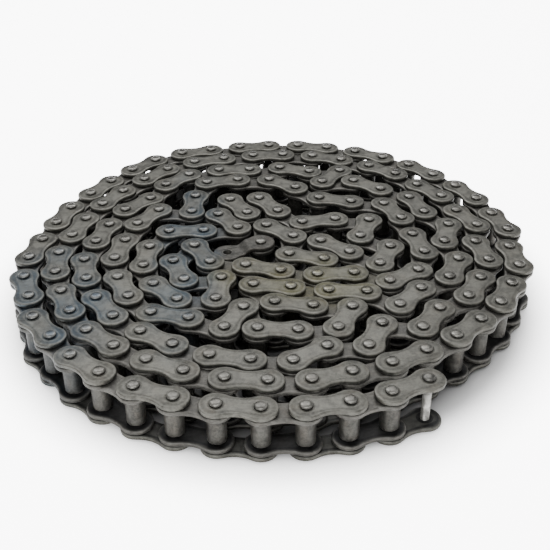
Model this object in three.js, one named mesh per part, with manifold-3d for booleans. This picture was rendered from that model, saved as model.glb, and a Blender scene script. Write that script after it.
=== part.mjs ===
// Coiled length of roller chain: 183 pitches laid flat in a loose coil of about two and a half laps
// round a folded middle. Millimetres, +Z up, the coil lies on z = 0.
import * as THREE from 'three';
import * as BufferGeometryUtils from 'three/addons/utils/BufferGeometryUtils.js';
import Module from 'manifold-3d';

const wasm = await Module();
wasm.setup();

// ---------------------------------------------------------------- driving dimensions
const PITCH = 15.875;            // 5/8 in chain
const PLATE = 1.9;               // thickness of every link plate
const CAP_R = 6.4;               // rounded end of an outer plate
const WAIST = 4.7;               // half width of an outer plate at its middle
const INNER_CAP_R = 6.25;        // rounded end of an inner plate
const INNER_WAIST = 4.7;
const HEAD = 1.4;                // rivet head standing out of the outer plate
const HEAD_R = 2.3;
const SIDE_GAP = 0.3;            // play between an inner plate and an outer plate
const INNER_WIDTH = 12.4;        // between the inner plates, where a sprocket tooth runs
const PIN_R = 1.75;
const BUSH_BORE_R = 2.2;
const BUSH_R = 2.7;
const ROLLER_BORE_R = 3.25;
const ROLLER_R = 3.85;
const FIT = 0.12;                // half of the drawn play where a pin or bush is pressed into a plate
const END_PLAY = 0.3;            // roller to inner plate, at each end

// heights, from the floor up
const Z_OUT_LO = HEAD;                              // lower outer plate
const Z_IN_LO = Z_OUT_LO + PLATE + SIDE_GAP;        // lower inner plate
const Z_GAP_LO = Z_IN_LO + PLATE;                   // bottom of the tooth space
const Z_GAP_HI = Z_GAP_LO + INNER_WIDTH;
const Z_IN_HI = Z_GAP_HI;                           // upper inner plate
const Z_OUT_HI = Z_IN_HI + PLATE + SIDE_GAP;        // upper outer plate
const Z_TOP = Z_OUT_HI + PLATE + HEAD;
const Z_MID = Z_TOP / 2;

// ---------------------------------------------------------------- lay of the chain, in pitches
// Pin 1 is the free end at the front right. The chain runs clockwise seen from above.
const TAIL_PINS = 6;             // pins of the hinged free end
const COIL_PINS = 95;            // pins laid by the two and a half outer laps
const COIL_CENTRE = [0, 1.5];
const FIRST_ANGLE = -59;         // degrees, where pin 1 lies seen from the coil centre
const MARK_ANGLE = -45;          // every eighth of a turn: [pin reached, distance from the centre]
const COIL_MARKS = [
  [1, 6.7], [6.2, 6.8], [11.6, 6.9], [17.2, 6.6], [22.5, 6.8], [27.9, 7.0], [33.5, 6.8], [39.0, 6.4],
  [43.7, 5.8], [48.2, 5.8], [52.8, 5.9], [57.5, 6.0], [62.4, 6.4], [67.3, 6.3], [72.2, 5.9],
  [76.9, 5.6], [81.4, 4.7], [85.5, 5.1], [89.7, 5.3], [93.9, 5.0], [98.1, 5.4],
];
// The folded middle, from pin 96 to the open bush of the last link
const MIDDLE = [
  [-3.8, 4.5], [-3.6, 5.3], [-2.9, 6.0], [-1.9, 6.2], [-0.9, 6.4], [0.0, 6.7], [1.0, 6.5], [2.0, 6.6],
  [1.4, 5.7], [2.4, 5.8], [3.3, 5.2], [4.0, 4.6], [4.5, 3.7], [4.8, 2.9], [4.9, 2.0], [4.9, 1.1],
  [4.5, 0.3], [3.7, -0.3], [3.1, -1.0], [2.4, -0.3], [1.4, -0.1], [0.4, -0.2], [-0.7, -0.1],
  [-0.1, -1.1], [1.0, -1.2], [2.0, -1.3], [1.5, -2.2], [0.5, -2.4], [-0.5, -2.2], [-1.0, -1.3],
  [-1.4, -2.2], [-2.0, -1.3], [-3.0, -1.3], [-3.8, -0.7], [-4.3, 0.2], [-4.7, 1.2], [-4.5, 2.1],
  [-4.2, 3.1], [-3.7, 4.1], [-2.7, 3.9], [-2.5, 4.8], [-2.3, 5.9], [-1.4, 6.1], [-0.4, 5.9],
  [0.5, 5.4], [1.3, 4.6], [2.3, 4.4], [3.2, 4.3], [3.7, 3.3], [3.9, 2.3], [4.0, 1.3], [3.7, 0.3],
  [3.1, -0.4], [2.1, 0.0], [1.0, 0.1], [0.1, 0.4], [-0.9, 0.7], [-1.8, 0.9], [-2.4, 1.7],
  [-2.9, 0.9], [-2.6, -0.1], [-1.6, 0.0], [-1.7, -1.0], [-2.7, -1.1], [-3.4, -0.3], [-3.7, 0.5],
  [-3.6, 1.5], [-3.2, 2.4], [-2.2, 2.6], [-1.2, 2.8], [-1.8, 3.6], [-1.5, 4.5], [-0.9, 3.7],
  [-0.6, 4.6], [0.0, 3.8], [0.7, 3.1], [1.7, 3.3], [2.7, 3.2], [2.4, 2.3], [3.1, 1.6], [2.7, 0.7],
  [2.0, 1.3], [1.2, 1.8], [1.2, 0.8], [0.3, 1.3], [0.4, 2.3], [-0.3, 2.9], [-0.5, 1.9], [-1.5, 1.5],
];
// Room every pin keeps to other pins, and to the middle of every other link, in pitches
const PIN_ROOM = 0.825;
const MIDDLE_ROOM = 0.735;
const SETTLE_ROUNDS = 700;
const SETTLE_STIFFNESS = 0.05;   // pull towards the drawn lay
const PULL_SHARE = 0.6;          // of the rounds, over which the pull fades out
const PUSH_SHARE = 0.4;          // of the missing room, made up in one round
const PITCH_PASSES = 10;

const RUN_PAIRS = 4;             // outer + inner link pairs joined into one run of the coil
const OUTER_LAP_PINS = 38;       // the lap seen from outside gets rounder rollers and lower rivet heads

function coilTarget(pin) {
  let k = 0;
  while (k < COIL_MARKS.length - 2 && COIL_MARKS[k + 1][0] <= pin) k += 1;
  const [here, next] = [COIL_MARKS[k], COIL_MARKS[k + 1]];
  const before = COIL_MARKS[Math.max(k - 1, 0)][1];
  const after = COIL_MARKS[Math.min(k + 2, COIL_MARKS.length - 1)][1];
  const t = (pin - here[0]) / (next[0] - here[0]);
  const radius = 0.5 * (2 * here[1] + (next[1] - before) * t
    + (2 * before - 5 * here[1] + 4 * next[1] - after) * t * t
    + (3 * here[1] - before - 3 * next[1] + after) * t * t * t);
  const angle = (FIRST_ANGLE + MARK_ANGLE * (k + t)) * Math.PI / 180;
  return [COIL_CENTRE[0] + radius * Math.cos(angle), COIL_CENTRE[1] + radius * Math.sin(angle)];
}

// Lets the drawn lay settle until every pitch is exact and no two links crowd each other
function settle(drawn) {
  const p = drawn.map((q) => [...q]);
  const count = p.length;
  const spread = (room, pairs) => {
    const shift = p.map(() => [0, 0]);
    for (const [i, others, x, y] of pairs) {
      const dx = p[i][0] - x;
      const dy = p[i][1] - y;
      const far = Math.hypot(dx, dy);
      if (far >= room) continue;
      const push = (room - far) * PUSH_SHARE / far;
      shift[i][0] += dx * push;
      shift[i][1] += dy * push;
      for (const j of others) {
        shift[j][0] -= dx * push;
        shift[j][1] -= dy * push;
      }
    }
    p.forEach((q, i) => { q[0] += shift[i][0]; q[1] += shift[i][1]; });
  };
  for (let round = 0; round < SETTLE_ROUNDS; round += 1) {
    const pull = SETTLE_STIFFNESS * Math.max(0, 1 - round / (PULL_SHARE * SETTLE_ROUNDS));
    p.forEach((q, i) => {
      q[0] += (drawn[i][0] - q[0]) * pull;
      q[1] += (drawn[i][1] - q[1]) * pull;
    });
    const pins = [];
    for (let i = 0; i < count; i += 1) {
      for (let j = i + 2; j < count; j += 1) pins.push([i, [j], p[j][0], p[j][1]]);
    }
    spread(PIN_ROOM, pins);
    const middles = [];
    for (let i = 0; i < count; i += 1) {
      for (let j = 0; j < count - 1; j += 1) {
        if (i === j || i === j + 1) continue;
        middles.push([i, [j, j + 1], (p[j][0] + p[j + 1][0]) / 2, (p[j][1] + p[j + 1][1]) / 2]);
      }
    }
    spread(MIDDLE_ROOM, middles);
    for (let pass = 0; pass < PITCH_PASSES; pass += 1) {
      for (const first of [0, 1]) {
        for (let i = first; i < count - 1; i += 2) {
          const dx = p[i + 1][0] - p[i][0];
          const dy = p[i + 1][1] - p[i][1];
          const far = Math.hypot(dx, dy);
          const half = (far - 1) / far / 2;
          p[i][0] += dx * half;
          p[i][1] += dy * half;
          p[i + 1][0] -= dx * half;
          p[i + 1][1] -= dy * half;
        }
      }
    }
  }
  return p;
}

const drawnLay = [];
for (let pin = 1; pin <= COIL_PINS; pin += 1) drawnLay.push(coilTarget(pin));
drawnLay.push(...MIDDLE);
const settled = settle(drawnLay);
const xs = settled.map((q) => q[0]);
const ys = settled.map((q) => q[1]);
const CENTRE = [(Math.min(...xs) + Math.max(...xs)) / 2, (Math.min(...ys) + Math.max(...ys)) / 2];
// PINS[n] is pin n in millimetres
const PINS = [null, ...settled.map(([x, y]) => [(x - CENTRE[0]) * PITCH, (y - CENTRE[1]) * PITCH])];
const LAST = PINS.length - 1;    // the open bush at the inner end

// ---------------------------------------------------------------- solids
const WELD = 1e-5;               // corners nearer than this are one
const CUT = 1;                   // how far a cutting solid reaches past the faces it cuts
const ROUND_REACH = 80;          // degrees that the corners of a plate's end span to each side
const BAR_REACH = 55;            // the same where the end has only two corners
const HEAD_SINK = 0.4;           // how far a rivet head reaches into its plate
const SHANK_REACH = 0.2;         // how far a pin runs past the outer plates, into its heads

function toSolid(geometry) {
  geometry.deleteAttribute('normal');
  geometry.deleteAttribute('uv');
  const merged = BufferGeometryUtils.mergeVertices(geometry, WELD);
  return new wasm.Manifold(new wasm.Mesh({
    numProp: 3,
    vertProperties: new Float32Array(merged.attributes.position.array),
    triVerts: new Uint32Array(merged.index.array),
  }));
}

// Upright prism between two heights over a plan outline
function prism(outline, low, high) {
  const shape = new THREE.Shape(outline.map(([x, y]) => new THREE.Vector2(x, y)));
  const geometry = new THREE.ExtrudeGeometry(shape, { depth: 1, bevelEnabled: false });
  const position = geometry.attributes.position;
  for (let i = 0; i < position.count; i += 1) position.setZ(i, position.getZ(i) > 0.5 ? high : low);
  return toSolid(geometry);
}

function ring(centre, radius, sides, turn = 0) {
  return Array.from({ length: sides }, (_, i) => {
    const angle = turn + (i + 0.5) * 2 * Math.PI / sides;
    return [centre[0] + radius * Math.cos(angle), centre[1] + radius * Math.sin(angle)];
  });
}

function bar(centre, radius, sides, low, high, turn = 0) {
  return prism(ring(centre, radius, sides, turn), low, high);
}

// Outline of a link plate from pin a to pin b: round ends of `points` corners, drawn in at the waist
function plateOutline(a, b, radius, waist, points) {
  const length = Math.hypot(b[0] - a[0], b[1] - a[1]);
  const along = [(b[0] - a[0]) / length, (b[1] - a[1]) / length];
  const place = (u, v) => [a[0] + along[0] * u - along[1] * v, a[1] + along[1] * u + along[0] * v];
  const reach = points > 2 ? ROUND_REACH : BAR_REACH;
  const outline = [];
  for (let i = 0; i < points; i += 1) {
    const angle = (-reach + 2 * reach * i / (points - 1)) * Math.PI / 180;
    outline.push(place(length + radius * Math.cos(angle), radius * Math.sin(angle)));
  }
  if (waist) outline.push(place(length / 2, waist));
  for (let i = 0; i < points; i += 1) {
    const angle = (180 - reach + 2 * reach * i / (points - 1)) * Math.PI / 180;
    outline.push(place(radius * Math.cos(angle), radius * Math.sin(angle)));
  }
  if (waist) outline.push(place(length / 2, -waist));
  return outline;
}

// Rivet head standing on a plate: a flat-topped cone, or a plain one where the flat is zero
function head(centre, sides, face, flat, turn = 0) {
  const corner = flat > 0 ? [[flat, HEAD]] : [];
  const profile = [[0, -HEAD_SINK], [HEAD_R, -HEAD_SINK], [HEAD_R, 0], ...corner, [0, HEAD]];
  const geometry = new THREE.LatheGeometry(profile.map(([x, y]) => new THREE.Vector2(x, y)), sides);
  geometry.rotateX(Math.PI / 2);
  geometry.rotateZ(turn);
  geometry.translate(centre[0], centre[1], face);
  return toSolid(geometry);
}

const join = (solids) => solids.reduce((whole, next) => whole.add(next));

// ---------------------------------------------------------------- materials and nodes
const STEEL = {
  plate: { color: 0x6b6964, roughness: 0.42 },
  inner: { color: 0x5f5d5c, roughness: 0.42 },
  roller: { color: 0x85837d, roughness: 0.35 },
  pin: { color: 0xa09e98, roughness: 0.3 },
};
const METALNESS = 0.85;
const chain = new THREE.Group();
chain.name = 'roller_chain';

function addNode(name, solid, steel) {
  const mesh = solid.getMesh();
  const geometry = new THREE.BufferGeometry();
  geometry.setAttribute('position', new THREE.BufferAttribute(new Float32Array(mesh.vertProperties), 3));
  geometry.setIndex(new THREE.BufferAttribute(new Uint32Array(mesh.triVerts), 1));
  geometry.computeVertexNormals();
  const material = new THREE.MeshStandardMaterial({ ...STEEL[steel], metalness: METALNESS });
  const node = new THREE.Mesh(geometry, material);
  node.name = name;
  chain.add(node);
}

// ---------------------------------------------------------------- hinged free end, piece by piece
const TAIL_CAP_POINTS = 5;
const BORE_SIDES = 6;
const ROLLER_SIDES = 8;
const heading = (a, b) => Math.atan2(b[1] - a[1], b[0] - a[0]);

function drilledPlate(a, b, radius, waist, low, bore) {
  const high = low + PLATE;
  let plate = prism(plateOutline(a, b, radius, waist, TAIL_CAP_POINTS), low, high);
  for (const pin of [a, b]) {
    plate = plate.subtract(bar(pin, bore, BORE_SIDES, low - CUT, high + CUT, heading(a, b)));
  }
  return plate;
}

function tube(centre, outer, outerSides, bore, low, high, turn) {
  const hollow = bar(centre, bore, BORE_SIDES, low - CUT, high + CUT, turn);
  return bar(centre, outer, outerSides, low, high, turn).subtract(hollow);
}

function bush(centre, turn) {
  return tube(centre, BUSH_R, BORE_SIDES, BUSH_BORE_R, Z_IN_LO, Z_IN_HI + PLATE, turn);
}

function roller(centre, turn) {
  const [low, high] = [Z_GAP_LO + END_PLAY, Z_GAP_HI - END_PLAY];
  return tube(centre, ROLLER_R, ROLLER_SIDES, ROLLER_BORE_R, low, high, turn);
}

function rivetedPin(centre, turn) {
  return join([
    bar(centre, PIN_R, BORE_SIDES, Z_OUT_LO - SHANK_REACH, Z_OUT_HI + PLATE + SHANK_REACH, turn),
    bar(centre, HEAD_R, BORE_SIDES, 0, Z_OUT_LO - FIT, turn),
    bar(centre, HEAD_R, BORE_SIDES, Z_OUT_HI + PLATE + FIT, Z_TOP, turn),
  ]);
}

for (let first = 1; first < TAIL_PINS; first += 2) {
  const [a, b, c] = [PINS[first], PINS[first + 1], PINS[first + 2]];
  const turn = heading(a, b);
  const tag = `tail_outer_${first}`;
  const outerPlate = (low) => drilledPlate(a, b, CAP_R, WAIST, low, PIN_R + FIT);
  addNode(`${tag}_plate_top`, outerPlate(Z_OUT_HI), 'plate');
  addNode(`${tag}_plate_bottom`, outerPlate(Z_OUT_LO), 'plate');
  addNode(`tail_pin_${first}`, rivetedPin(a, turn), 'pin');
  addNode(`tail_pin_${first + 1}`, rivetedPin(b, turn), 'pin');

  const innerTurn = heading(b, c);
  const innerTag = `tail_inner_${first + 1}`;
  const innerPlate = (low) => drilledPlate(b, c, INNER_CAP_R, INNER_WAIST, low, BUSH_R + FIT);
  addNode(`${innerTag}_plate_top`, innerPlate(Z_IN_HI), 'inner');
  addNode(`${innerTag}_plate_bottom`, innerPlate(Z_IN_LO), 'inner');
  for (const [pin, number] of [[b, first + 1], [c, first + 2]]) {
    addNode(`tail_bush_${number}`, bush(pin, innerTurn), 'roller');
    addNode(`tail_roller_${number}`, roller(pin, innerTurn), 'roller');
  }
}

// ---------------------------------------------------------------- coiled runs
// Inside a run the links are one piece: plates lie on each other and solid posts stand in for the
// pin, bush and roller. A run starts with a pin that has play in the bored bush ending the run before.
const CAP_POINTS = 4;
const HIDDEN_CAP_POINTS = 2;
const RUN_INNER_R = 5.6;          // corners of an inner plate, which stay under the outer plate's end
const HIDDEN_R = 5.9;             // corners of the lower outer plates inside the coil, plain bars
const POST_SIDES = 3;
const POST_R = 3.2;
const SEEN_POST_SIDES = 6;
const SEEN_POST_R = 3.8;
const FOOT_SIDES = 4;
const RIVET_SIDES = 6;
const RIVET_FLAT = 1.5;
const POST_DEPTH = 0.5;          // how far posts and rivets reach into a plate

function runOf(firstPin, pairs) {
  const solids = [];
  for (let k = 0; k < pairs; k += 1) {
    const from = firstPin + 2 * k;
    const [a, b, c] = [PINS[from], PINS[from + 1], PINS[from + 2]];
    const seen = from <= OUTER_LAP_PINS;
    const loose = k === 0;
    const last = k === pairs - 1;
    const lowPoints = seen ? CAP_POINTS : HIDDEN_CAP_POINTS;
    const lowWaist = seen ? WAIST : 0;
    const play = loose ? SIDE_GAP : 0;
    const turn = heading(a, b);
    const outer = [
      prism(plateOutline(a, b, CAP_R, WAIST, CAP_POINTS), Z_IN_HI + PLATE + play, Z_OUT_HI + PLATE),
      prism(plateOutline(a, b, seen ? CAP_R : HIDDEN_R, lowWaist, lowPoints), Z_OUT_LO, Z_IN_LO - play),
    ];
    for (const pin of [a, b]) {
      outer.push(head(pin, RIVET_SIDES, Z_OUT_HI + PLATE, seen ? RIVET_FLAT : 0, turn));
      if (seen) outer.push(bar(pin, HEAD_R, FOOT_SIDES, 0, Z_OUT_LO + POST_DEPTH, turn));
      if (loose) {
        const [low, high] = [Z_IN_LO - play - POST_DEPTH, Z_IN_HI + PLATE + play + POST_DEPTH];
        outer.push(bar(pin, PIN_R, RIVET_SIDES, low, high, turn));
      }
    }
    const innerPlan = last
      ? plateOutline(b, c, INNER_CAP_R, INNER_WAIST, CAP_POINTS)
      : plateOutline(b, c, RUN_INNER_R, 0, HIDDEN_CAP_POINTS);
    const inner = [
      prism(innerPlan, Z_IN_HI, Z_IN_HI + PLATE),
      prism(innerPlan, Z_IN_LO, Z_IN_LO + PLATE),
    ];
    for (const pin of [b, c]) {
      const round = seen || (last && pin === c);
      const [radius, sides] = round ? [SEEN_POST_R, SEEN_POST_SIDES] : [POST_R, POST_SIDES];
      inner.push(bar(pin, radius, sides, Z_GAP_LO - POST_DEPTH, Z_GAP_HI + POST_DEPTH, heading(b, c)));
    }
    let link = join(inner);
    if (last) link = link.subtract(bar(c, BUSH_BORE_R, RIVET_SIDES, 0, Z_TOP, heading(b, c)));
    solids.push(join(outer), link);
  }
  return join(solids);
}

const COIL_START = TAIL_PINS + 1;
const RUNS = (LAST - 1 - COIL_START) / 2 / RUN_PAIRS;
for (let run = 0; run < RUNS; run += 1) {
  const name = `coil_run_${String(run + 1).padStart(2, '0')}`;
  addNode(name, runOf(COIL_START + 2 * RUN_PAIRS * run, RUN_PAIRS), 'plate');
}

// ---------------------------------------------------------------- offset link at the inner end
// Its plates step from the outer level at the pin to the inner level at the open bush.
const CRANK_FROM = 0.36;         // where the step starts and ends, in pitches from the pin
const CRANK_TO = 0.64;

{
  const [a, b] = [PINS[LAST - 1], PINS[LAST]];
  const turn = heading(a, b);
  const crank = (low) => {
    const steps = [[-CAP_R, 0], [CRANK_FROM * PITCH, 0], [CRANK_TO * PITCH, 1], [PITCH + CAP_R, 1]];
    const inward = low < Z_MID ? PLATE + SIDE_GAP : -PLATE - SIDE_GAP;
    const lower = steps.map(([u, s]) => [u, low + inward * s]);
    const side = new THREE.Shape([...lower, ...lower.slice().reverse().map(([u, z]) => [u, z + PLATE])]
      .map(([u, z]) => new THREE.Vector2(u, z)));
    const slab = new THREE.ExtrudeGeometry(side, { depth: 2 * (CAP_R + CUT), bevelEnabled: false });
    slab.rotateX(Math.PI / 2);
    slab.translate(0, CAP_R + CUT, 0);
    slab.rotateZ(turn);
    slab.translate(a[0], a[1], 0);
    const plan = prism(plateOutline(a, b, CAP_R, WAIST, TAIL_CAP_POINTS), 0, Z_TOP);
    return toSolid(slab).intersect(plan)
      .subtract(bar(a, PIN_R + FIT, BORE_SIDES, 0, Z_TOP, turn))
      .subtract(bar(b, BUSH_R + FIT, BORE_SIDES, 0, Z_TOP, turn));
  };
  addNode('offset_plate_top', crank(Z_OUT_HI), 'inner');
  addNode('offset_plate_bottom', crank(Z_OUT_LO), 'inner');
  addNode('offset_pin', rivetedPin(a, turn), 'pin');
  addNode('offset_bush', bush(b, turn), 'roller');
  addNode('offset_roller', roller(b, turn), 'roller');
}

export default chain;
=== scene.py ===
"""Looks of the coiled roller chain: every plate, pin, bush and roller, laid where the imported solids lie."""
import math
import random

import bmesh
import bpy
import numpy as np
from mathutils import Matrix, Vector
from mathutils.geometry import tessellate_polygon


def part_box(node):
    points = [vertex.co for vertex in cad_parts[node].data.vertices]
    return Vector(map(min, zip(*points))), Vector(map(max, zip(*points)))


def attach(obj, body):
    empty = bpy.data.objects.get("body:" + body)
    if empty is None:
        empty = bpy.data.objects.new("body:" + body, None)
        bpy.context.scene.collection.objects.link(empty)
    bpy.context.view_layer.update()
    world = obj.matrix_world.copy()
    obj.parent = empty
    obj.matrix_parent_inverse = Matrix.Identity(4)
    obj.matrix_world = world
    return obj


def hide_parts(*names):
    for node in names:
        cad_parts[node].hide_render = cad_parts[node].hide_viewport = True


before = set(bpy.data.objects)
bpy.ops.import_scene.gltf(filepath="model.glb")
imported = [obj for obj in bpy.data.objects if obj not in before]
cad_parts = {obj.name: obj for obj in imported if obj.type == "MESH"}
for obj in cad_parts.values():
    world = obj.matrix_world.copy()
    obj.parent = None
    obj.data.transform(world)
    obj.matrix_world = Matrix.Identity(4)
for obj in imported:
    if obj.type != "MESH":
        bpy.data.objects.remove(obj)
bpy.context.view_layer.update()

random.seed(11)

# ---------------------------------------------------------------- driving dimensions, metres
PITCH = 0.015875
PLATE = 0.0019                # thickness of every link plate
CAP_R = 0.0064                # rounded end of an outer plate
WAIST = 0.0046                # half width of an outer plate at its middle
INNER_CAP_R = 0.0063
INNER_WAIST = 0.0047
HEAD = 0.0014                 # rivet head standing out of the outer plate
HEAD_R = 0.0025
PRESS_RING = (0.0027, 0.0030, 0.0034)     # ring that the riveting tool leaves round each head
PRESS_DEPTH = 0.00010
RIM_BAND = 0.0014             # band along the edge of a plate's face, rubbed bright and painted with highlight towards the edge
BEVEL = 0.00066               # round of a plate's rim
BEVEL_WEAR_AND_HIGHLIGHT = (0.35, 0.85, 0.6, 0.15)      # how far each row of the rim is rubbed bright, wear and painted highlight together
PIN_R = 0.00172
BUSH_BORE_R = 0.0020
BUSH_BORE_CHAMFER = (0.00008, 0.0001)     # outwards, and along the bore
BUSH_R = 0.00262
ROLLER_BORE_R = 0.0029
ROLLER_R = 0.00372
SIDE_GAP = 0.0003             # play between an inner plate and an outer plate
END_PLAY = 0.0003             # roller to inner plate, at each end
INNER_WIDTH = 0.0124          # between the inner plates, where a sprocket tooth runs
FIT = 0.00006                 # half of the drawn play where a pin or bush is pressed into a plate
PIN_SIDES = 18
ROLLER_SIDES = 24
HOLE_SIDES = 20
CAP_STEPS = 17                # points round each end of a plate, and along each hollow flank
SIDE_STEPS = 6

Z_OUT_LO = HEAD
Z_IN_LO = Z_OUT_LO + PLATE + SIDE_GAP
Z_GAP_LO = Z_IN_LO + PLATE
Z_GAP_HI = Z_GAP_LO + INNER_WIDTH
Z_IN_HI = Z_GAP_HI
Z_OUT_HI = Z_IN_HI + PLATE + SIDE_GAP
Z_TOP = Z_OUT_HI + PLATE + HEAD

# ---------------------------------------------------------------- lay of the chain, in pitches
TAIL_PINS = 6
COIL_PINS = 95
RUN_PAIRS = 4
COIL_CENTRE = (0.0, 1.5)
FIRST_ANGLE = -59
MARK_ANGLE = -45
COIL_MARKS = [
    (1, 6.7), (6.2, 6.8), (11.6, 6.9), (17.2, 6.6), (22.5, 6.8), (27.9, 7.0), (33.5, 6.8), (39.0, 6.4),
    (43.7, 5.8), (48.2, 5.8), (52.8, 5.9), (57.5, 6.0), (62.4, 6.4), (67.3, 6.3), (72.2, 5.9),
    (76.9, 5.6), (81.4, 4.7), (85.5, 5.1), (89.7, 5.3), (93.9, 5.0), (98.1, 5.4),
]
MIDDLE = [
    (-3.8, 4.5), (-3.6, 5.3), (-2.9, 6.0), (-1.9, 6.2), (-0.9, 6.4), (0.0, 6.7), (1.0, 6.5), (2.0, 6.6),
    (1.4, 5.7), (2.4, 5.8), (3.3, 5.2), (4.0, 4.6), (4.5, 3.7), (4.8, 2.9), (4.9, 2.0), (4.9, 1.1),
    (4.5, 0.3), (3.7, -0.3), (3.1, -1.0), (2.4, -0.3), (1.4, -0.1), (0.4, -0.2), (-0.7, -0.1),
    (-0.1, -1.1), (1.0, -1.2), (2.0, -1.3), (1.5, -2.2), (0.5, -2.4), (-0.5, -2.2), (-1.0, -1.3),
    (-1.4, -2.2), (-2.0, -1.3), (-3.0, -1.3), (-3.8, -0.7), (-4.3, 0.2), (-4.7, 1.2), (-4.5, 2.1),
    (-4.2, 3.1), (-3.7, 4.1), (-2.7, 3.9), (-2.5, 4.8), (-2.3, 5.9), (-1.4, 6.1), (-0.4, 5.9),
    (0.5, 5.4), (1.3, 4.6), (2.3, 4.4), (3.2, 4.3), (3.7, 3.3), (3.9, 2.3), (4.0, 1.3), (3.7, 0.3),
    (3.1, -0.4), (2.1, 0.0), (1.0, 0.1), (0.1, 0.4), (-0.9, 0.7), (-1.8, 0.9), (-2.4, 1.7),
    (-2.9, 0.9), (-2.6, -0.1), (-1.6, 0.0), (-1.7, -1.0), (-2.7, -1.1), (-3.4, -0.3), (-3.7, 0.5),
    (-3.6, 1.5), (-3.2, 2.4), (-2.2, 2.6), (-1.2, 2.8), (-1.8, 3.6), (-1.5, 4.5), (-0.9, 3.7),
    (-0.6, 4.6), (0.0, 3.8), (0.7, 3.1), (1.7, 3.3), (2.7, 3.2), (2.4, 2.3), (3.1, 1.6), (2.7, 0.7),
    (2.0, 1.3), (1.2, 1.8), (1.2, 0.8), (0.3, 1.3), (0.4, 2.3), (-0.3, 2.9), (-0.5, 1.9), (-1.5, 1.5),
]
PIN_ROOM = 0.825
MIDDLE_ROOM = 0.735
SETTLE_ROUNDS = 700
SETTLE_STIFFNESS = 0.05       # pull towards the drawn lay
PULL_SHARE = 0.6              # of the rounds, over which the pull fades out
PUSH_SHARE = 0.4              # of the missing room, made up in one round
PITCH_PASSES = 10
LAY_TOLERANCE = 0.0003        # metres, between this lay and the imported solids


def coil_target(pin):
    k = 0
    while k < len(COIL_MARKS) - 2 and COIL_MARKS[k + 1][0] <= pin:
        k += 1
    here, following = COIL_MARKS[k], COIL_MARKS[k + 1]
    before = COIL_MARKS[max(k - 1, 0)][1]
    after = COIL_MARKS[min(k + 2, len(COIL_MARKS) - 1)][1]
    t = (pin - here[0]) / (following[0] - here[0])
    radius = 0.5 * (2 * here[1] + (following[1] - before) * t
                    + (2 * before - 5 * here[1] + 4 * following[1] - after) * t * t
                    + (3 * here[1] - before - 3 * following[1] + after) * t * t * t)
    angle = math.radians(FIRST_ANGLE + MARK_ANGLE * (k + t))
    return COIL_CENTRE[0] + radius * math.cos(angle), COIL_CENTRE[1] + radius * math.sin(angle)


def settle(drawn):
    """Lets the drawn lay settle until every pitch is exact and no two links crowd each other."""
    target = np.array(drawn, float)
    p = target.copy()
    count = len(p)
    for settle_round in range(SETTLE_ROUNDS):
        pull = SETTLE_STIFFNESS * max(0.0, 1 - settle_round / (PULL_SHARE * SETTLE_ROUNDS))
        p += (target - p) * pull
        for room in (PIN_ROOM, MIDDLE_ROOM):
            others = p if room == PIN_ROOM else (p[:-1] + p[1:]) / 2
            apart = p[:, None] - others[None]
            far = np.hypot(apart[..., 0], apart[..., 1])
            close = far < room
            if room == PIN_ROOM:
                i, j = np.where(np.triu(close, 2))
            else:
                i, j = np.where(close)
                far_links = (i != j) & (i != j + 1)
                i, j = i[far_links], j[far_links]
            push = apart[i, j] * ((room - far[i, j]) * PUSH_SHARE / far[i, j])[:, None]
            shift = np.zeros_like(p)
            np.add.at(shift, i, push)
            np.add.at(shift, j, -push)
            if room != PIN_ROOM:
                np.add.at(shift, j + 1, -push)
            p += shift
        for _ in range(PITCH_PASSES):
            for first in (0, 1):
                i = np.arange(first, count - 1, 2)
                gap = p[i + 1] - p[i]
                far = np.hypot(gap[:, 0], gap[:, 1])[:, None]
                half = gap * ((far - 1) / far / 2)
                p[i] += half
                p[i + 1] -= half
    return p


settled = settle([coil_target(pin) for pin in range(1, COIL_PINS + 1)] + MIDDLE)
CENTRE = (settled.min(0) + settled.max(0)) / 2
PINS = [None] + [Vector(((x - CENTRE[0]) * PITCH, (y - CENTRE[1]) * PITCH, 0)) for x, y in settled]
LAST = len(PINS) - 1
for pin in (1, TAIL_PINS):
    low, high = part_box(f"tail_pin_{pin}")
    middle = (low + high) / 2
    assert (middle.xy - PINS[pin].xy).length < LAY_TOLERANCE, "the lay differs from the packed solids"

# ---------------------------------------------------------------- mesh templates
# A template is (points, faces, edge wear and painted highlight of each point, smooth flag of each face),
# about the origin.


def plate_outline(radius, waist):
    """Counter-clockwise figure-eight outline from pin a at x = 0 to pin b at x = PITCH."""
    half = PITCH / 2
    hollow = (half ** 2 + waist ** 2 - radius ** 2) / (2 * (radius - waist))
    reach = math.atan2(half, waist + hollow)         # where a round end meets a hollow flank
    points = []
    for side in (1, -1):
        for i in range(CAP_STEPS):
            angle = -math.pi / 2 - reach + (math.pi + 2 * reach) * i / (CAP_STEPS - 1)
            points.append((side * (half + radius * math.cos(angle)) + half, side * radius * math.sin(angle)))
        for i in range(1, SIDE_STEPS):
            angle = reach * (1 - 2 * i / SIDE_STEPS)
            x = hollow * math.sin(angle)
            y = waist + hollow - hollow * math.cos(angle)
            points.append((side * x + half, side * y))
    return points


def outward(loop):
    """Normals that point away from the material, for a loop with the material on its left."""
    normals = []
    for i in range(len(loop)):
        (ax, ay), (bx, by) = loop[i - 1], loop[(i + 1) % len(loop)]
        far = math.hypot(bx - ax, by - ay)
        normals.append(((by - ay) / far, -(bx - ax) / far))
    return normals


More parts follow.
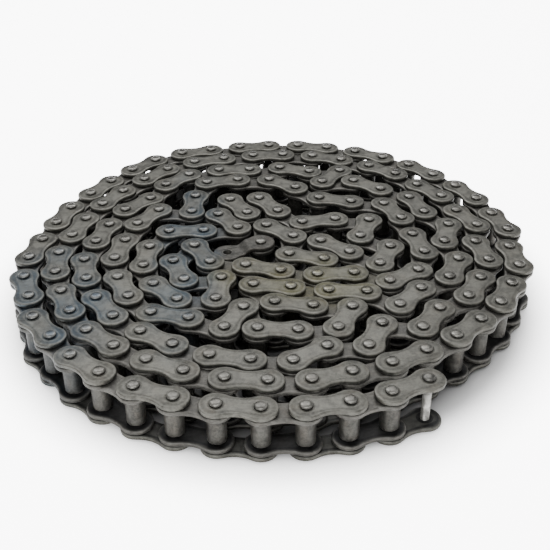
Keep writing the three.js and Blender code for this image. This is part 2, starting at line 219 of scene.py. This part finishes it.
def plate_template(radius, waist, hole, ringed=False):
    """Plate on z = 0 to PLATE: rounded rim, straight hole walls and, on an outer plate, the pressed rings."""
    points, faces, wear_and_highlight, smooth = [], [], [], []

    def ring(loop, z, amount):
        base = len(points)
        points.extend((x, y, z) for x, y in loop)
        wear_and_highlight.extend([amount] * len(loop))
        return [base + i for i in range(len(loop))]

    def strip(low, high):
        for i in range(len(low)):
            j = (i + 1) % len(low)
            faces.append((high[i], low[i], low[j], high[j]))
            smooth.append(True)

    def circle(x, reach):
        turns = [2 * math.pi * i / HOLE_SIDES for i in range(HOLE_SIDES)]
        return [(x + reach * math.cos(turn), -reach * math.sin(turn)) for turn in turns]

    outline = plate_outline(radius, waist)
    normals = outward(outline)
    rim = [(RIM_BAND, 0, 0)]                         # rows of (inset, depth below the face, wear and painted highlight)
    for i, amount in enumerate(BEVEL_WEAR_AND_HIGHLIGHT):
        angle = math.pi / 2 * i / (len(BEVEL_WEAR_AND_HIGHLIGHT) - 1)
        rim.append((BEVEL * (1 - math.sin(angle)), BEVEL * (1 - math.cos(angle)), amount))
    rim = [(inset, PLATE - down, amount) for inset, down, amount in rim] + [
        (inset, down, amount) for inset, down, amount in reversed(rim)]
    rings = [ring([(x - nx * inset, y - ny * inset) for (x, y), (nx, ny) in zip(outline, normals)], z, amount)
             for inset, z, amount in rim]
    for high, low in zip(rings, rings[1:]):
        strip(low, high)
    tops, bottoms = [rings[0]], [rings[-1]]
    for x in (0, PITCH):
        wall = [ring(circle(x, hole), PLATE, 0.1), ring(circle(x, hole), 0, 0.1)]
        if ringed:
            inner, deep, outer = PRESS_RING
            above = [ring(circle(x, outer), PLATE, 0.35), ring(circle(x, deep), PLATE - PRESS_DEPTH, 0),
                     ring(circle(x, inner), PLATE, 0)]
            below = [ring(circle(x, inner), 0, 0), ring(circle(x, deep), PRESS_DEPTH, 0),
                     ring(circle(x, outer), 0, 0.35)]
            wall = above + wall + below
        for high, low in zip(wall, wall[1:]):
            strip(low, high)
        tops.append(wall[0])
        bottoms.append(wall[-1])
    for loops, up in ((tops, True), (bottoms, False)):
        flat = [v for loop in loops for v in loop]
        for triangle in tessellate_polygon([[Vector(points[v]) for v in loop] for loop in loops]):
            a, b, c = (flat[v] for v in triangle)
            (ax, ay, _), (bx, by, _), (cx, cy, _) = points[a], points[b], points[c]
            if ((bx - ax) * (cy - ay) - (by - ay) * (cx - ax) > 0) != up:
                b, c = c, b
            faces.append((a, b, c))
            smooth.append(False)
    return np.array(points), faces, np.array(wear_and_highlight), smooth


def lathe_template(profile, sides):
    """Closed profile of (radius, height, wear and painted highlight) turned about +Z; a radius of zero closes
    on the axis.
    """
    points, faces, wear_and_highlight = [], [], []
    rows = []
    for radius, z, w in profile:
        if radius == 0:
            rows.append([len(points)] * sides)
            points.append((0, 0, z))
            wear_and_highlight.append(w)
        else:
            rows.append([len(points) + i for i in range(sides)])
            for i in range(sides):
                angle = 2 * math.pi * i / sides
                points.append((radius * math.cos(angle), radius * math.sin(angle), z))
                wear_and_highlight.append(w)
    closed = profile[0][0] > 0
    pairs = list(zip(rows, rows[1:])) + ([(rows[-1], rows[0])] if closed else [])
    for low, high in pairs:
        for i in range(sides):
            face = []
            for v in (low[i], low[(i + 1) % sides], high[(i + 1) % sides], high[i]):
                if v not in face:
                    face.append(v)
            faces.append(tuple(face))
    return np.array(points), faces, np.array(wear_and_highlight), [True] * len(faces)


# Peened rivet head, an upright rim, a round shoulder and an almost flat crown; the bright shoulder is wear
# and painted highlight:
# (share of its radius, share of its height, wear and painted highlight)
HEAD_ROWS = [(0.97, 0.0, 0.0), (1.0, 0.3, 0.1), (0.96, 0.52, 0.5), (0.84, 0.76, 1.0), (0.66, 0.91, 0.3),
             (0.35, 0.985, 0.1)]


def head_profile(face, rise, upward):
    rows = [(HEAD_R * r, face + rise * z, w) for r, z, w in HEAD_ROWS]
    return rows if upward else rows[::-1]


def pin_template(shank_wear_and_highlight, head_share):
    """Riveted pin; head_share scales the wear and painted highlight of its heads."""
    below = [(r, z, w * head_share) for r, z, w in head_profile(Z_OUT_LO, -HEAD, False)]
    above = [(r, z, w * head_share) for r, z, w in head_profile(Z_OUT_HI + PLATE, HEAD, True)]
    shank = [(PIN_R, Z_OUT_LO, shank_wear_and_highlight), (PIN_R, Z_OUT_HI + PLATE, shank_wear_and_highlight)]
    return lathe_template([(0, 0, 0.1)] + below + shank + above + [(0, Z_TOP, 0.1)], PIN_SIDES)


PIN = pin_template(0.0, 1.0)
BARE_PIN = pin_template(1.0, 0.3)
BUSH_HI = Z_IN_HI + PLATE
CHAMFER_OUT, CHAMFER_DOWN = BUSH_BORE_CHAMFER
BUSH = lathe_template(
    [(BUSH_BORE_R + CHAMFER_OUT, Z_IN_LO, 0.5), (BUSH_R, Z_IN_LO, 0.3), (BUSH_R, BUSH_HI, 0.3),
     (BUSH_BORE_R + CHAMFER_OUT, BUSH_HI, 0.5), (BUSH_BORE_R, BUSH_HI - CHAMFER_DOWN, 0.1),
     (BUSH_BORE_R, Z_IN_LO + CHAMFER_DOWN, 0.1)], PIN_SIDES)
ROLLER_LO, ROLLER_HI = Z_GAP_LO + END_PLAY, Z_GAP_HI - END_PLAY
# A roller's rounded end, from its bore outwards: (radius, distance from the end, wear and painted highlight)
ROLLER_END = [(ROLLER_BORE_R, 0, 0.2), (ROLLER_R - 0.00045, 0, 0.6), (ROLLER_R - 0.0001, 0.0002, 1.0),
              (ROLLER_R, 0.0006, 0.4), (ROLLER_R, 0.0012, 0)]
ROLLER = lathe_template(
    [(radius, ROLLER_LO + z, w) for radius, z, w in ROLLER_END]
    + [(radius, ROLLER_HI - z, w) for radius, z, w in reversed(ROLLER_END)], ROLLER_SIDES)
OUTER = plate_template(CAP_R, WAIST, PIN_R + FIT, ringed=True)
INNER = plate_template(INNER_CAP_R, INNER_WAIST, BUSH_R + FIT)


def placed(template, at, turn=0.0, low=0.0, tone=0.5):
    points, faces, wear_and_highlight, smooth = template
    c, s = math.cos(turn), math.sin(turn)
    x, y, z = points.T
    moved = np.stack([at.x + c * x - s * y, at.y + s * x + c * y, low + z], 1)
    return moved, faces, wear_and_highlight, smooth, np.full(len(points), tone)


def build(name, parts):
    """One mesh object out of placed templates."""
    points, faces, wear_and_highlight, smooth, tone = [], [], [], [], []
    base = 0
    for moved, part_faces, part_wear_and_highlight, part_smooth, part_tone in parts:
        points.append(moved)
        faces += [tuple(v + base for v in face) for face in part_faces]
        wear_and_highlight.append(part_wear_and_highlight)
        smooth += part_smooth
        tone.append(part_tone)
        base += len(moved)
    mesh = bpy.data.meshes.new(name)
    mesh.from_pydata(np.concatenate(points).tolist(), [], faces)
    mesh.polygons.foreach_set("use_smooth", smooth)
    # this attribute holds rubbed wear together with painted highlight on plate rims, rivet shoulders, bushes
    # and roller ends
    mesh.attributes.new("wear_and_highlight", "FLOAT", "POINT").data.foreach_set("value", np.concatenate(wear_and_highlight))
    mesh.attributes.new("tone", "FLOAT", "POINT").data.foreach_set("value", np.concatenate(tone))
    mesh.update()
    piece = bpy.data.objects.new(name, mesh)
    bpy.context.scene.collection.objects.link(piece)
    return piece


# ---------------------------------------------------------------- materials
# Oval patches of oil film on the coil: centre and half widths in metres, tint, strength, noise scale
OIL_FILMS = [
    ((-0.039, 0.002), (0.016, 0.080), (0.42, 0.66, 1.0, 1), 0.95, 60),
    ((-0.090, -0.045), (0.030, 0.046), (0.40, 0.64, 1.0, 1), 0.95, 60),
    ((0.012, -0.027), (0.034, 0.022), (1.0, 0.97, 0.58, 1), 0.9, 40),
    ((-0.014, -0.020), (0.020, 0.013), (1.0, 0.93, 0.60, 1), 0.8, 40),
]
# Noise scales of the steel, per metre
MOTTLE, BLOTCH, SPECKLE, FINE_GRAIN, SCRATCHES, RUST = 260, 48, 1150, 2600, 900, 150
SCRATCH_STRETCH = (0.18, 1.6, 1.0)
SCRATCH_TURN = 0.6
BUMP_DEPTH = 0.00006
# painted shade between the plates: its colour, how strongly it covers, and the heights it lies between
PAINTED_SHADE_TINT = (0.22, 0.24, 0.31, 1)
PAINTED_SHADE_STRENGTH = 0.85
PAINTED_SHADE_HEIGHTS = (0.006, 0.010)       # the painted shade fades out from the one height to the other
DULL_EDGE = (0.45, 0.45, 0.45, 1)     # tint of the gloss at a glancing angle
OIL_DARKENING = (0.55, 0.55, 0.57, 1)
RUST_TINT = (1.0, 0.80, 0.66, 1)
DARKEST_LINK = (0.5, 0.5, 0.5, 1)


def steel(name, dark, light, rubbed_and_highlight, roughness, metallic=0.55):
    """Mottled, oily steel between dark and light, brightened to the colour rubbed_and_highlight where the
    wear and painted highlight is high.
    """
    material = bpy.data.materials.new(name)
    material.use_nodes = True
    tree = material.node_tree
    nodes, links = tree.nodes, tree.links
    nodes.clear()

    def node(kind, **inputs):
        made = nodes.new(kind)
        for key, value in inputs.items():
            made.inputs[key.replace("_", " ")].default_value = value
        return made

    def mix(a, b, factor, blend="MIX"):
        made = nodes.new("ShaderNodeMix")
        made.data_type = "RGBA"
        made.blend_type = blend
        for socket, value in (("Factor", factor), ("A", a), ("B", b)):
            kind = "VALUE" if socket == "Factor" else "RGBA"
            target = [s for s in made.inputs if s.name == socket and s.type == kind][0]
            if isinstance(value, bpy.types.NodeSocket):
                links.new(value, target)
            else:
                target.default_value = value
        return [s for s in made.outputs if s.type == "RGBA"][0]

    def remap(value, a, b, c, d):
        made = node("ShaderNodeMapRange", From_Min=a, From_Max=b, To_Min=c, To_Max=d)
        links.new(value, made.inputs["Value"])
        return made.outputs["Result"]

    def noise(scale, detail, rough, distort=0.0):
        made = node("ShaderNodeTexNoise", Scale=scale, Detail=detail, Roughness=rough, Distortion=distort)
        links.new(where, made.inputs["Vector"])
        return made.outputs["Fac"]

    def math_node(operation, a, b):
        made = nodes.new("ShaderNodeMath")
        made.operation = operation
        for i, value in enumerate((a, b)):
            if isinstance(value, bpy.types.NodeSocket):
                links.new(value, made.inputs[i])
            else:
                made.inputs[i].default_value = value
        return made.outputs[0]

    where = nodes.new("ShaderNodeTexCoord").outputs["Object"]
    wear_and_highlight = nodes.new("ShaderNodeAttribute")
    wear_and_highlight.attribute_name = "wear_and_highlight"
    tone = nodes.new("ShaderNodeAttribute")
    tone.attribute_name = "tone"
    split = nodes.new("ShaderNodeSeparateXYZ")
    links.new(where, split.inputs[0])

    mottle = noise(MOTTLE, 5, 0.62, 0.6)
    blotch = noise(BLOTCH, 3, 0.5)
    fine = noise(FINE_GRAIN, 4, 0.7)
    scratch = nodes.new("ShaderNodeTexNoise")
    scratch.inputs["Scale"].default_value = SCRATCHES
    scratch.inputs["Detail"].default_value = 3
    stretch = nodes.new("ShaderNodeMapping")
    stretch.inputs["Scale"].default_value = SCRATCH_STRETCH
    stretch.inputs["Rotation"].default_value = (0, 0, SCRATCH_TURN)
    links.new(where, stretch.inputs["Vector"])
    links.new(stretch.outputs[0], scratch.inputs["Vector"])

    speckle = noise(SPECKLE, 3, 0.65, 0.4)
    patchy = math_node("ADD", remap(mottle, 0.42, 0.58, 0, 0.5), remap(speckle, 0.43, 0.57, 0, 0.5))
    colour = mix(dark, light, patchy)
    rust = remap(noise(RUST, 3, 0.6), 0.50, 0.70, 0, 0.30)
    colour = mix(colour, RUST_TINT, rust, "MULTIPLY")
    oil = remap(blotch, 0.36, 0.66, 0, 1)
    colour = mix(colour, OIL_DARKENING, math_node("MULTIPLY", oil, 0.4), "MULTIPLY")
    # bluish and straw coloured oil films, each in an oval patch of the coil
    for centre, reach, film, strength, scale in OIL_FILMS:
        squares = []
        for axis, middle, size in zip("XY", centre, reach):
            share = math_node("DIVIDE", math_node("SUBTRACT", split.outputs[axis], middle), size)
            squares.append(math_node("POWER", share, 2))
        away = math_node("ADD", *squares)
        ragged = remap(noise(scale, 2, 0.5), 0.40, 0.60, 0.25, 1)
        patch = math_node("MULTIPLY", remap(away, 1.3, 0.3, 0, strength), ragged)
        colour = mix(colour, film, patch, "MULTIPLY")
    colour = mix(colour, DARKEST_LINK, remap(tone.outputs["Fac"], 0, 1, 0.42, 0.0), "MULTIPLY")
    # painted shade: dark navy laid on the upward faces of the lower plates, where the upper plates keep the
    # light off
    facing = nodes.new("ShaderNodeSeparateXYZ")
    links.new(nodes.new("ShaderNodeNewGeometry").outputs["Normal"], facing.inputs[0])
    painted_shade_under_plates = math_node("MULTIPLY", remap(facing.outputs["Z"], 0.3, 0.8, 0, PAINTED_SHADE_STRENGTH),
                       remap(split.outputs["Z"], *PAINTED_SHADE_HEIGHTS, 1, 0))
    colour = mix(colour, PAINTED_SHADE_TINT, painted_shade_under_plates, "MULTIPLY")
    # edges rubbed bright and painted with highlight, unevenly
    rub_and_highlight = math_node("MULTIPLY", wear_and_highlight.outputs["Fac"], remap(mottle, 0.35, 0.7, 0.35, 1.0))
    colour = mix(colour, rubbed_and_highlight, math_node("MULTIPLY", rub_and_highlight, 0.8))

    shader = nodes.new("ShaderNodeBsdfPrincipled")
    links.new(colour, shader.inputs["Base Color"])
    shader.inputs["Metallic"].default_value = metallic
    shader.inputs["Specular IOR Level"].default_value = 0.25
    shader.inputs["Specular Tint"].default_value = DULL_EDGE
    uneven = math_node("ADD", remap(mottle, 0.3, 0.7, roughness - 0.07, roughness + 0.10),
                       remap(scratch.outputs["Fac"], 0.35, 0.65, -0.05, 0.05))
    links.new(math_node("SUBTRACT", uneven, math_node("MULTIPLY", oil, 0.10)), shader.inputs["Roughness"])
    bump = node("ShaderNodeBump", Strength=0.35, Distance=BUMP_DEPTH)
    coarse = math_node("ADD", math_node("MULTIPLY", mottle, 0.9),
                       math_node("MULTIPLY", scratch.outputs["Fac"], 0.4))
    links.new(math_node("ADD", math_node("MULTIPLY", fine, 0.5), coarse), bump.inputs["Height"])
    links.new(bump.outputs["Normal"], shader.inputs["Normal"])
    output = nodes.new("ShaderNodeOutputMaterial")
    links.new(shader.outputs[0], output.inputs[0])
    return material


# each steel's third colour is its rubbed colour, laid on both as wear and as painted highlight
OUTER_STEEL = steel("outer_plate_steel", (0.0165, 0.0163, 0.0138, 1), (0.050, 0.0490, 0.0420, 1),
                    (0.150, 0.147, 0.131, 1), 0.48)
INNER_STEEL = steel("inner_plate_steel", (0.0155, 0.0149, 0.0132, 1), (0.045, 0.0432, 0.0385, 1),
                    (0.135, 0.131, 0.120, 1), 0.50)
PIN_STEEL = steel("pin_steel", (0.022, 0.0215, 0.0193, 1), (0.056, 0.0547, 0.0492, 1),
                  (0.230, 0.225, 0.206, 1), 0.33, 0.72)
BARE_PIN_STEEL = steel("bare_pin_steel", (0.022, 0.0215, 0.0193, 1), (0.056, 0.0547, 0.0492, 1),
                       (0.32, 0.315, 0.295, 1), 0.34, 0.60)
ROLLER_STEEL = steel("roller_steel", (0.020, 0.0195, 0.0176, 1), (0.054, 0.0524, 0.0470, 1),
                     (0.110, 0.107, 0.098, 1), 0.46, 0.60)


def finish_piece(piece, material, slot, body, *nodes_replaced):
    piece.data.materials.append(material)
    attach(piece, body)
    if nodes_replaced:
        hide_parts(*nodes_replaced)


def heading(a, b):
    return math.atan2(b.y - a.y, b.x - a.x)


TONES = [random.random() for _ in range(LAST + 1)]      # how light each link is
FREE_PIN_TONE = 0.9
BUSH_TONE = 0.7

# ---------------------------------------------------------------- coiled runs
run_count = (LAST - 2 - TAIL_PINS) // 2 // RUN_PAIRS
for run in range(run_count):
    start = TAIL_PINS + 1 + 2 * RUN_PAIRS * run
    node_name = f"coil_run_{run + 1:02d}"
    outer, inner, pins, bushes, rollers = [], [], [], [], []
    for k in range(RUN_PAIRS):
        first = start + 2 * k
        a, b, c = PINS[first:first + 3]
        turn, inner_turn = heading(a, b), heading(b, c)
        for low in (Z_OUT_HI, Z_OUT_LO):
            outer.append(placed(OUTER, a, turn, low, TONES[first]))
        for low in (Z_IN_HI, Z_IN_LO):
            inner.append(placed(INNER, b, inner_turn, low, TONES[first + 1]))
        pins += [placed(PIN, a, turn, 0, TONES[first + 1]), placed(PIN, b, turn, 0, TONES[first])]
        for at in (b, c):
            bushes.append(placed(BUSH, at, inner_turn, 0, TONES[first]))
            rollers.append(placed(ROLLER, at, inner_turn, 0, TONES[first + 1]))
    tag = f"run_{run + 1:02d}"
    finish_piece(build(f"{tag}_outer_plates", outer), OUTER_STEEL, "plate", "coil", node_name)
    finish_piece(build(f"{tag}_inner_plates", inner), INNER_STEEL, "inner_plate", "coil")
    finish_piece(build(f"{tag}_pins", pins), PIN_STEEL, "pin", "coil")
    finish_piece(build(f"{tag}_bushes", bushes), ROLLER_STEEL, "roller", "coil")
    finish_piece(build(f"{tag}_rollers", rollers), ROLLER_STEEL, "roller", "coil")

# ---------------------------------------------------------------- hinged free end
for first in range(1, TAIL_PINS, 2):
    a, b, c = PINS[first:first + 3]
    turn, inner_turn = heading(a, b), heading(b, c)
    link, inner_link = f"tail_link_{first}", f"tail_link_{first + 1}"
    for side, low in (("top", Z_OUT_HI), ("bottom", Z_OUT_LO)):
        plate = placed(OUTER, a, turn, low, TONES[first])
        finish_piece(build(f"free_outer_plate_{first}_{side}", [plate]),
                     OUTER_STEEL, "plate", link, f"tail_outer_{first}_plate_{side}")
    for side, low in (("top", Z_IN_HI), ("bottom", Z_IN_LO)):
        plate = placed(INNER, b, inner_turn, low, TONES[first + 1])
        finish_piece(build(f"free_inner_plate_{first + 1}_{side}", [plate]),
                     INNER_STEEL, "inner_plate", inner_link, f"tail_inner_{first + 1}_plate_{side}")
    for number, at in ((first, a), (first + 1, b)):
        shape, skin = (BARE_PIN, BARE_PIN_STEEL) if number == 1 else (PIN, PIN_STEEL)
        finish_piece(build(f"free_pin_{number}", [placed(shape, at, turn, 0, FREE_PIN_TONE)]),
                     skin, "pin", link, f"tail_pin_{number}")
    for number, at in ((first + 1, b), (first + 2, c)):
        finish_piece(build(f"free_bush_{number}", [placed(BUSH, at, inner_turn, 0, BUSH_TONE)]),
                     ROLLER_STEEL, "roller", inner_link, f"tail_bush_{number}")
        finish_piece(build(f"free_roller_{number}", [placed(ROLLER, at, inner_turn, 0, TONES[number])]),
                     ROLLER_STEEL, "roller", f"roller_{number}", f"tail_roller_{number}")

# ---------------------------------------------------------------- offset link at the inner end
CRANK_FROM, CRANK_TO = 0.36 * PITCH, 0.64 * PITCH       # where the step of its plates starts and ends
CRANK_MARGIN = 0.0006                                   # cut this far beyond the step, on each side
CRANK_CUTS = 9
CRANK_WELD = 1e-6                                       # corners nearer than this are one
OPEN_PLATE_TONE = 0.8
OPEN_ROLLER_TONE = 0.6


def cranked(piece_name, low, inward):
    """Outer plate whose far end steps to the inner level, with a hole sized for each end."""
    wide = plate_template(CAP_R, WAIST, PIN_R + FIT)
    narrow = plate_template(CAP_R, WAIST, BUSH_R + FIT)
    far_end = wide[0][:, 0] > PITCH / 2
    points = np.where(far_end[:, None], narrow[0], wide[0])
    work = bmesh.new()
    verts = [work.verts.new(p) for p in points]
    for face in wide[1]:
        work.faces.new([verts[v] for v in face])
    for i in range(CRANK_CUTS):
        at = CRANK_FROM - CRANK_MARGIN + (CRANK_TO - CRANK_FROM + 2 * CRANK_MARGIN) * i / (CRANK_CUTS - 1)
        whole = work.verts[:] + work.edges[:] + work.faces[:]
        bmesh.ops.bisect_plane(work, geom=whole, dist=CRANK_WELD, plane_co=(at, 0, 0), plane_no=(1, 0, 0))
    bmesh.ops.remove_doubles(work, verts=work.verts, dist=CRANK_WELD)
    work.verts.index_update()
    moved = np.array([v.co for v in work.verts])
    t = np.clip((moved[:, 0] - CRANK_FROM) / (CRANK_TO - CRANK_FROM), 0, 1)
    moved[:, 2] += inward * t * t * (3 - 2 * t)
    faces = [tuple(v.index for v in face.verts) for face in work.faces]
    work.free()
    template = (moved, faces, np.zeros(len(moved)), [False] * len(faces))
    a, b = PINS[LAST - 1], PINS[LAST]
    return build(piece_name, [placed(template, a, heading(a, b), low, OPEN_PLATE_TONE)])


step = PLATE + SIDE_GAP
a, b = PINS[LAST - 1], PINS[LAST]
finish_piece(cranked("open_link_plate_top", Z_OUT_HI, -step), INNER_STEEL, "inner_plate", "offset_link",
             "offset_plate_top")
finish_piece(cranked("open_link_plate_bottom", Z_OUT_LO, step), INNER_STEEL, "inner_plate", "offset_link",
             "offset_plate_bottom")
finish_piece(build("open_link_pin", [placed(PIN, a, 0, 0, BUSH_TONE)]), PIN_STEEL, "pin", "offset_link",
             "offset_pin")
finish_piece(build("open_link_bush", [placed(BUSH, b, 0, 0, BUSH_TONE)]), ROLLER_STEEL, "roller",
             "offset_link", "offset_bush")
finish_piece(build("open_link_roller", [placed(ROLLER, b, 0, 0, OPEN_ROLLER_TONE)]), ROLLER_STEEL, "roller",
             "offset_roller", "offset_roller")

# ---------------------------------------------------------------- floor, light, camera
FLOOR = 3.0                    # half width
FLOOR_Z = -0.0001
GLOW = 6.5                     # keeps the paper white
# the paper under the coil is painted dark grey, a painted shadow that shows through the gaps of the chain
PAINTED_SHADOW_GREY, PALE_PAPER = 0.12, 0.93
SHADE_FROM, SHADE_TO = 0.096, 0.120      # distance from the middle where the painted shadow under the coil fades to the pale paper
GLOW_FROM, GLOW_TO = 0.107, 0.138        # and where it starts to glow


def smooth_step(tree, value, start, end, low, high):
    step_node = tree.nodes.new("ShaderNodeMapRange")
    step_node.interpolation_type = "SMOOTHSTEP"
    for socket, number in (("From Min", start), ("From Max", end), ("To Min", low), ("To Max", high)):
        step_node.inputs[socket].default_value = number
    tree.links.new(value, step_node.inputs["Value"])
    return step_node.outputs["Result"]


floor_mesh = bpy.data.meshes.new("floor")
floor_mesh.from_pydata([(-FLOOR, -FLOOR, FLOOR_Z), (FLOOR, -FLOOR, FLOOR_Z), (FLOOR, FLOOR, FLOOR_Z),
                        (-FLOOR, FLOOR, FLOOR_Z)], [], [(0, 1, 2, 3)])
floor = bpy.data.objects.new("floor", floor_mesh)
bpy.context.scene.collection.objects.link(floor)
floor_material = bpy.data.materials.new("floor_white")
floor_material.use_nodes = True
floor_tree = floor_material.node_tree
surface = floor_tree.nodes["Principled BSDF"]
surface.inputs["Roughness"].default_value = 0.9
surface.inputs["Specular IOR Level"].default_value = 0.1
surface.inputs["Emission Color"].default_value = (1, 1, 1, 1)
floor_place = floor_tree.nodes.new("ShaderNodeTexCoord")
floor_reach = floor_tree.nodes.new("ShaderNodeVectorMath")
floor_reach.operation = "LENGTH"
floor_tree.links.new(floor_place.outputs["Object"], floor_reach.inputs[0])
reach = floor_reach.outputs["Value"]
glow = smooth_step(floor_tree, reach, GLOW_FROM, GLOW_TO, 0, GLOW)
# pale paper with a painted shadow under the coil
paper_and_painted_shadow = smooth_step(floor_tree, reach, SHADE_FROM, SHADE_TO, PAINTED_SHADOW_GREY, PALE_PAPER)
floor_tree.links.new(glow, surface.inputs["Emission Strength"])
floor_tree.links.new(paper_and_painted_shadow, surface.inputs["Base Color"])
floor_mesh.materials.append(floor_material)

# Soft light from all round; behind the coil the eye sees the same white paper
ROOM_LIGHT = 1.05
world = bpy.data.worlds.new("studio")
bpy.context.scene.world = world
world.use_nodes = True
sky = world.node_tree
room = sky.nodes["Background"]
room.inputs["Color"].default_value = (1, 1, 1, 1)
room.inputs["Strength"].default_value = ROOM_LIGHT
backdrop = sky.nodes.new("ShaderNodeBackground")
backdrop.inputs["Color"].default_value = (1, 1, 1, 1)
backdrop.inputs["Strength"].default_value = GLOW
seen = sky.nodes.new("ShaderNodeLightPath")
either = sky.nodes.new("ShaderNodeMixShader")
sky.links.new(seen.outputs["Is Camera Ray"], either.inputs[0])
sky.links.new(room.outputs[0], either.inputs[1])
sky.links.new(backdrop.outputs[0], either.inputs[2])
sky.links.new(either.outputs[0], sky.nodes["World Output"].inputs[0])


def softbox(name, at, aim, size, power):
    light = bpy.data.lights.new(name, "AREA")
    light.shape = "RECTANGLE"
    light.size, light.size_y = size
    light.energy = power
    lamp = bpy.data.objects.new(name, light)
    lamp.location = at
    lamp.rotation_euler = (Vector(aim) - Vector(at)).to_track_quat("-Z", "Y").to_euler()
    bpy.context.scene.collection.objects.link(lamp)


softbox("overhead", (-0.12, 0.45, 0.70), (0, 0, 0), (0.9, 0.5), 15)
softbox("overhead_near", (0.05, -0.45, 0.70), (0, 0, 0), (0.9, 0.4), 4)
softbox("front", (-0.22, -0.85, 0.52), (0, 0, 0.01), (0.45, 0.25), 3.5)

# The camera looks down on the coil from the front
VIEW_X, VIEW_Y = -CENTRE[0] * PITCH, -CENTRE[1] * PITCH      # the point of the top plane on its axis
CAMERA_BACK, CAMERA_UP, CAMERA_LEFT = 20.83 * PITCH, 13.20 * PITCH, 0.09 * PITCH
LENS, SENSOR = 60.6, 36
NEAR = 0.01
camera_data = bpy.data.cameras.new("camera")
camera_data.lens = LENS
camera_data.sensor_width = SENSOR
camera_data.clip_start = NEAR
camera = bpy.data.objects.new("camera", camera_data)
camera.location = (VIEW_X - CAMERA_LEFT, VIEW_Y - CAMERA_BACK, Z_TOP + CAMERA_UP)
camera.rotation_euler = (math.atan2(CAMERA_BACK, CAMERA_UP), 0, 0)
bpy.context.scene.collection.objects.link(camera)
bpy.context.scene.camera = camera
